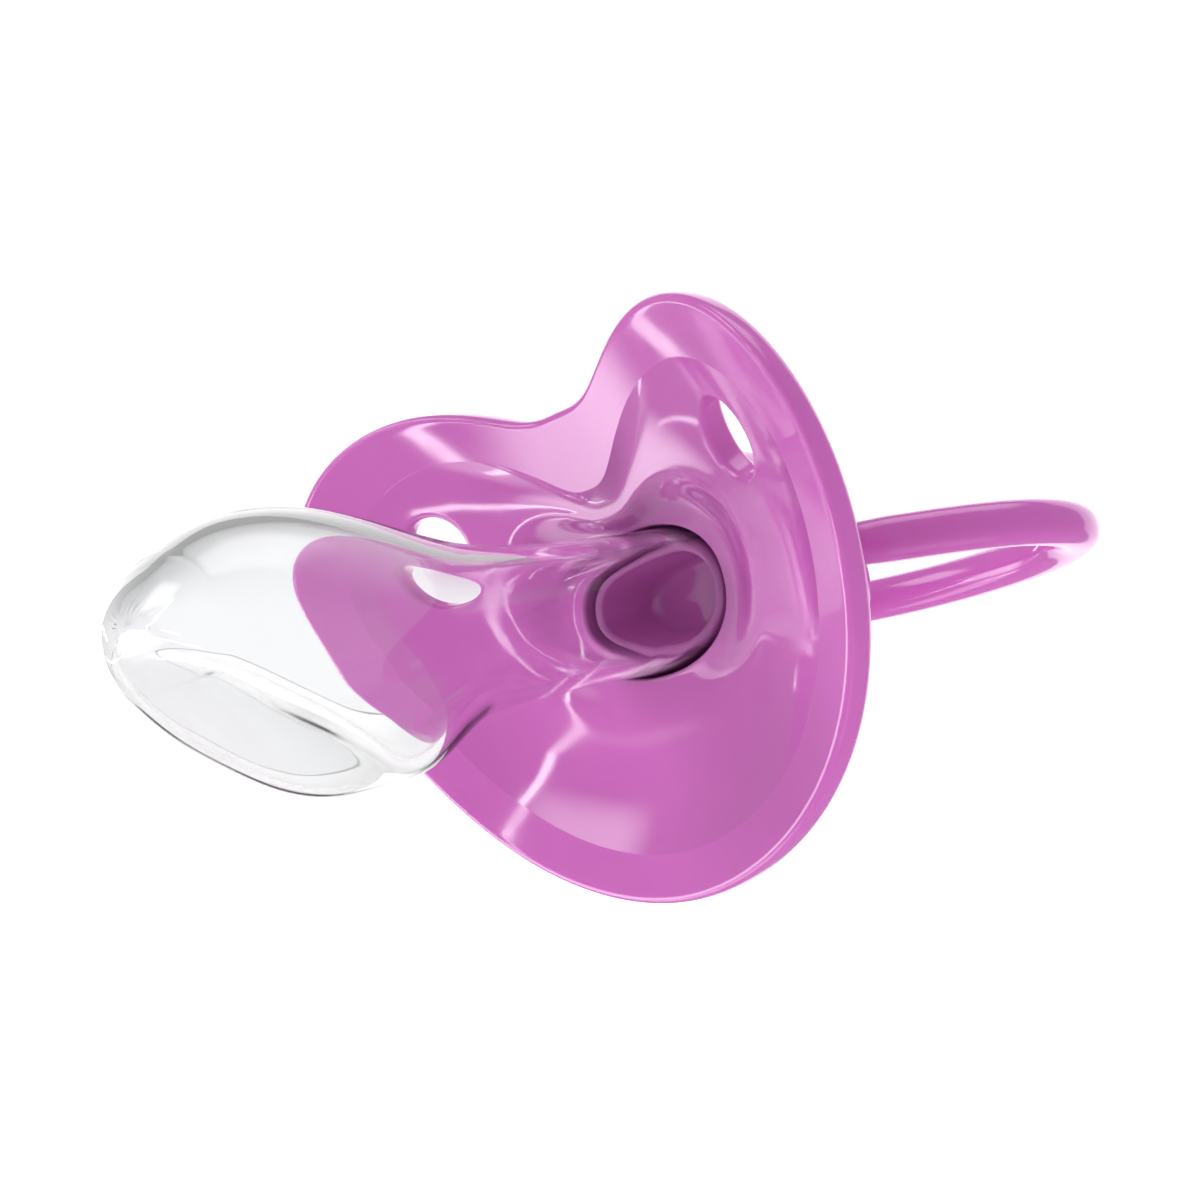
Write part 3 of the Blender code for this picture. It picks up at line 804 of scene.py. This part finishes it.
def add_math(nodes, links, operation, *values):
    """Math node over sockets and numbers; returns its output socket."""
    node = nodes.new("ShaderNodeMath")
    node.operation = operation
    for entry, value in zip(node.inputs, values):
        if isinstance(value, bpy.types.NodeSocket):
            links.new(value, entry)
        else:
            entry.default_value = value
    return node.outputs["Value"]


def add_map_range(nodes, links, value, start=(0.0, 1.0), ends=(0.0, 1.0), eased=False):
    """Maps a socket's values from one range to another; returns the output socket."""
    node = nodes.new("ShaderNodeMapRange")
    node.interpolation_type = "SMOOTHSTEP" if eased else "LINEAR"
    for name, number in zip(("From Min", "From Max", "To Min", "To Max"), (*start, *ends)):
        node.inputs[name].default_value = number
    links.new(value, node.inputs["Value"])
    return node.outputs["Result"]


def add_noise(nodes, links, scale, detail):
    """Noise in object space; returns its output socket."""
    place_node = nodes.new("ShaderNodeTexCoord")
    noise = nodes.new("ShaderNodeTexNoise")
    noise.inputs["Scale"].default_value = scale
    noise.inputs["Detail"].default_value = detail
    links.new(place_node.outputs["Object"], noise.inputs["Vector"])
    return noise.outputs["Fac"]


def add_noise_range(nodes, links, scale, detail, ends=(0.0, 1.0)):
    """Noise mapped to run between two ends; returns its output socket."""
    return add_map_range(nodes, links, add_noise(nodes, links, scale, detail), NOISE_SPAN, ends)


def add_colour(nodes, links, shader, amount, deep, light):
    """Base colour that drifts from deep to light with the amount."""
    mix = nodes.new("ShaderNodeMix")
    mix.data_type = "RGBA"
    mix.inputs["A"].default_value = (*deep, 1)
    mix.inputs["B"].default_value = (*light, 1)
    links.new(amount, mix.inputs["Factor"])
    links.new(mix.outputs["Result"], shader.inputs["Base Color"])


def add_waves(nodes, links, shader, scale, distance, strength):
    """Faint moulding waves, as bump."""
    bump = nodes.new("ShaderNodeBump")
    bump.inputs["Distance"].default_value = distance
    bump.inputs["Strength"].default_value = strength
    links.new(add_noise(nodes, links, scale, WAVE_DETAIL), bump.inputs["Height"])
    links.new(bump.outputs["Normal"], shader.inputs["Normal"])


def make_plastic(name):
    """Polished moulded plastic: slight colour drift, varied gloss and faint moulding waves."""
    material, nodes, links, shader = new_material(name)
    drift = add_noise_range(nodes, links, scale=90.0, detail=3.0)
    add_colour(nodes, links, shader, drift, PINK_DEEP, PINK_LIGHT)
    gloss = add_noise_range(nodes, links, scale=240.0, detail=4.0, ends=PLASTIC_GLOSS)
    links.new(gloss, shader.inputs["Roughness"])
    add_waves(nodes, links, shader, *PLASTIC_WAVES)
    shader.inputs["IOR"].default_value = 1.5
    shader.inputs["Subsurface Weight"].default_value = 0.12
    shader.inputs["Subsurface Radius"].default_value = (1.0, 0.35, 0.8)
    shader.inputs["Subsurface Scale"].default_value = 0.0012
    return material


def make_silicone(name):
    """Clear liquid silicone rubber with a soft skin."""
    material, nodes, links, shader = new_material(name)
    tint = add_noise_range(nodes, links, scale=60.0, detail=2.0)
    add_colour(nodes, links, shader, tint, CLEAR_DEEP, CLEAR_LIGHT)
    gloss = add_noise_range(nodes, links, scale=200.0, detail=3.0, ends=SILICONE_GLOSS)
    links.new(gloss, shader.inputs["Roughness"])
    add_waves(nodes, links, shader, *SILICONE_WAVES)
    shader.inputs["IOR"].default_value = 1.41
    shader.inputs["Transmission Weight"].default_value = 1.0
    return material


# --- studio --------------------------------------------------------------------------------------

CAMERA_PLACE = (0.140055, -0.118669, -0.014057)
CAMERA_TURN = (53.64, -4.84, -12.79)              # azimuth, elevation and roll in degrees
CAMERA_CLIP = (0.005, 50)
LENS = 86.95
FLOOR_Z = -0.045
FLOOR_RADIUS = 12.0
FLOOR_SIDES = 64
FLOOR_GREY = 0.9
FLOOR_GLOW = (0.1, 0.8)                           # towards other rays, and towards the camera
PANEL_DISTANCE = 3.0
SOFT_EDGE = 0.22                                  # x(1 - x) across a soft panel where its fade ends
BACKDROP_STRENGTH = 1.05
BACKDROP_TINT = (0.985, 0.99, 1.0)                # as seen through the silicone
BACKDROP_FADE = (0.12, 0.60)                      # heights of a direction where the backdrop dims
BACKDROP_DIM = 0.40
ROOM_STRENGTH = 0.48
# Lamps as (name, start, end, width, radiance, soft); start and end are azimuth and elevation,
# with the width, in degrees.
PANELS = (
    ("strip_upper", (-18.7, 22.5), (-31.0, 7.5), 1.5, 14.0, False),
    ("strip_upper_end", (-31.0, 7.5), (-42.5, -0.8), 1.3, 8.0, False),
    ("strip_lower", (-46.0, -7.5), (-33.0, -24.0), 1.5, 12.0, False),
    ("strip_lower_end", (-33.0, -24.0), (-25.0, -28.5), 1.8, 12.0, False),
    ("strip_front", (-34.0, -5.0), (-25.0, -14.0), 1.6, 8.0, False),
    ("strip_left", (-93.0, 11.0), (-84.0, 6.0), 1.6, 7.0, False),
    ("strip_far_left", (-93.0, 2.0), (-71.0, -14.0), 1.0, 4.0, False),
    ("strip_low_left", (-77.0, -27.0), (-58.0, -30.0), 1.4, 7.0, False),
    ("softbox_left", (-74.0, -12.0), (-40.0, -8.0), 24.0, 5.0, True),
    ("softbox_under", (-82.0, -40.0), (-46.0, -40.0), 44.0, 2.4, True),
    ("softbox_high", (-54.0, 30.0), (-16.0, 30.0), 34.0, 4.2, True),
    ("softbox_top", (80.0, 58.0), (-150.0, 66.0), 60.0, 2.6, True),
    ("softbox_floor", (10.0, -68.0), (110.0, -68.0), 44.0, 0.7, True),
    ("backdrop", (-188.0, 8.0), (-96.0, 8.0), 70.0, 1.2, False),
)


def direction(azimuth, elevation):
    """Unit vector towards an azimuth and elevation in degrees; azimuth 0 is the mouth side."""
    a, e = math.radians(azimuth), math.radians(elevation)
    return Vector((math.sin(a) * math.cos(e), -math.cos(a) * math.cos(e), math.sin(e)))


def stand(spot, right, up, back):
    """Matrix that puts an object at a spot with its own axes along these three."""
    return Matrix.Translation(spot) @ Matrix((right, up, back)).transposed().to_4x4()


def make_camera():
    azimuth, _, roll = (math.radians(a) for a in CAMERA_TURN)
    back = direction(*CAMERA_TURN[:2])
    right = Vector((math.cos(azimuth), math.sin(azimuth), 0))
    up = back.cross(right)
    tilted_right = right * math.cos(roll) + up * math.sin(roll)
    tilted_up = up * math.cos(roll) - right * math.sin(roll)
    data = bpy.data.cameras.new("camera")
    data.lens = LENS
    data.clip_start, data.clip_end = CAMERA_CLIP
    camera = bpy.data.objects.new("camera", data)
    camera.matrix_world = stand(CAMERA_PLACE, tilted_right, tilted_up, back)
    bpy.context.scene.collection.objects.link(camera)
    bpy.context.scene.camera = camera


def soften(lamp_data):
    """Fades a lamp's light towards all four edges of its panel."""
    lamp_data.use_nodes = True
    nodes, links = lamp_data.node_tree.nodes, lamp_data.node_tree.links
    emission = nodes["Emission"]
    spot = nodes.new("ShaderNodeNewGeometry")
    split = nodes.new("ShaderNodeSeparateXYZ")
    links.new(spot.outputs["Parametric"], split.inputs["Vector"])
    fades = []
    for axis in ("X", "Y"):
        across = split.outputs[axis]
        rest = add_math(nodes, links, "SUBTRACT", 1.0, across)
        hump = add_math(nodes, links, "MULTIPLY", across, rest)
        fades.append(add_map_range(nodes, links, hump, start=(0.0, SOFT_EDGE), eased=True))
    links.new(add_math(nodes, links, "MULTIPLY", *fades), emission.inputs["Strength"])


def add_panel(name, start, end, width, radiance, soft):
    """Rectangular lamp whose middle line runs between two directions; angles in degrees."""
    first, last = direction(*start), direction(*end)
    out = (first + last).normalized()
    along = (last - first).normalized()
    data = bpy.data.lights.new(name, "AREA")
    data.shape = "RECTANGLE"
    data.size = 2 * PANEL_DISTANCE * math.tan(first.angle(last) / 2)
    data.size_y = 2 * PANEL_DISTANCE * math.tan(math.radians(width) / 2)
    data.energy = radiance * math.pi * data.size * data.size_y
    if soft:
        soften(data)
    lamp = bpy.data.objects.new(name, data)
    lamp.matrix_world = stand(out * PANEL_DISTANCE, along, out.cross(along), out)
    lamp.visible_camera = False
    lamp.visible_transmission = False
    bpy.context.scene.collection.objects.link(lamp)


def make_world():
    """White to the eye, dimmer above and below through the silicone, and a grey room in reflections."""
    world = bpy.data.worlds.new("studio")
    world.use_nodes = True
    nodes, links = world.node_tree.nodes, world.node_tree.links
    nodes.clear()
    out = nodes.new("ShaderNodeOutputWorld")
    seen = nodes.new("ShaderNodeBackground")
    seen.inputs["Strength"].default_value = BACKDROP_STRENGTH
    seen.inputs["Color"].default_value = (1, 1, 1, 1)
    through = nodes.new("ShaderNodeBackground")
    through.inputs["Color"].default_value = (*BACKDROP_TINT, 1)
    room = nodes.new("ShaderNodeBackground")
    room.inputs["Strength"].default_value = ROOM_STRENGTH
    place_node = nodes.new("ShaderNodeTexCoord")
    split = nodes.new("ShaderNodeSeparateXYZ")
    links.new(place_node.outputs["Generated"], split.inputs["Vector"])
    height = add_math(nodes, links, "ABSOLUTE", split.outputs["Z"])
    dimming = add_map_range(nodes, links, height, BACKDROP_FADE, (1.0, BACKDROP_DIM), eased=True)
    links.new(dimming, through.inputs["Strength"])
    path = nodes.new("ShaderNodeLightPath")
    refracted = nodes.new("ShaderNodeMixShader")
    links.new(path.outputs["Is Transmission Ray"], refracted.inputs["Fac"])
    links.new(room.outputs["Background"], refracted.inputs[1])
    links.new(through.outputs["Background"], refracted.inputs[2])
    direct = nodes.new("ShaderNodeMixShader")
    links.new(path.outputs["Is Camera Ray"], direct.inputs["Fac"])
    links.new(refracted.outputs["Shader"], direct.inputs[1])
    links.new(seen.outputs["Background"], direct.inputs[2])
    links.new(direct.outputs["Shader"], out.inputs["Surface"])
    bpy.context.scene.world = world


def make_floor():
    """Pale floor that isn't seen in reflections, casts no shadow and glows to the camera."""
    mesh = bpy.data.meshes.new("floor")
    bm = bmesh.new()
    bmesh.ops.create_circle(bm, cap_ends=True, segments=FLOOR_SIDES, radius=FLOOR_RADIUS)
    bm.to_mesh(mesh)
    bm.free()
    floor = bpy.data.objects.new("floor", mesh)
    floor.location.z = FLOOR_Z
    floor.visible_glossy = False
    floor.visible_shadow = False
    bpy.context.scene.collection.objects.link(floor)
    material, nodes, links, shader = new_material("pale_floor")
    shader.inputs["Base Color"].default_value = (FLOOR_GREY, FLOOR_GREY, FLOOR_GREY, 1)
    shader.inputs["Roughness"].default_value = 0.9
    shader.inputs["Specular IOR Level"].default_value = 0.0
    shader.inputs["Emission Color"].default_value = (1, 1, 1, 1)
    path = nodes.new("ShaderNodeLightPath")
    glow = add_map_range(nodes, links, path.outputs["Is Camera Ray"], ends=FLOOR_GLOW)
    links.new(glow, shader.inputs["Emission Strength"])
    mesh.materials.append(material)


def main():
    pink = make_plastic("orchid_pink_plastic")
    clear = make_silicone("clear_silicone")
    for piece, body, node, slot_name in (
        (make_shield(pink), "soother", "shield", "shield_plastic"),
        (make_teat(clear), "soother", "teat", "clear_silicone"),
        (make_insert(pink), "soother", "teat_insert", "insert_plastic"),
        (make_cap(pink), "soother", "rear_cap", "cap_plastic"),
        (make_ring(pink), "ring", "ring_handle", "ring_plastic"),
    ):
        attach(piece, body)
        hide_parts(node)
    make_camera()
    make_world()
    make_floor()
    for panel in PANELS:
        add_panel(*panel)
    bpy.context.scene.view_settings.view_transform = "Standard"


main()
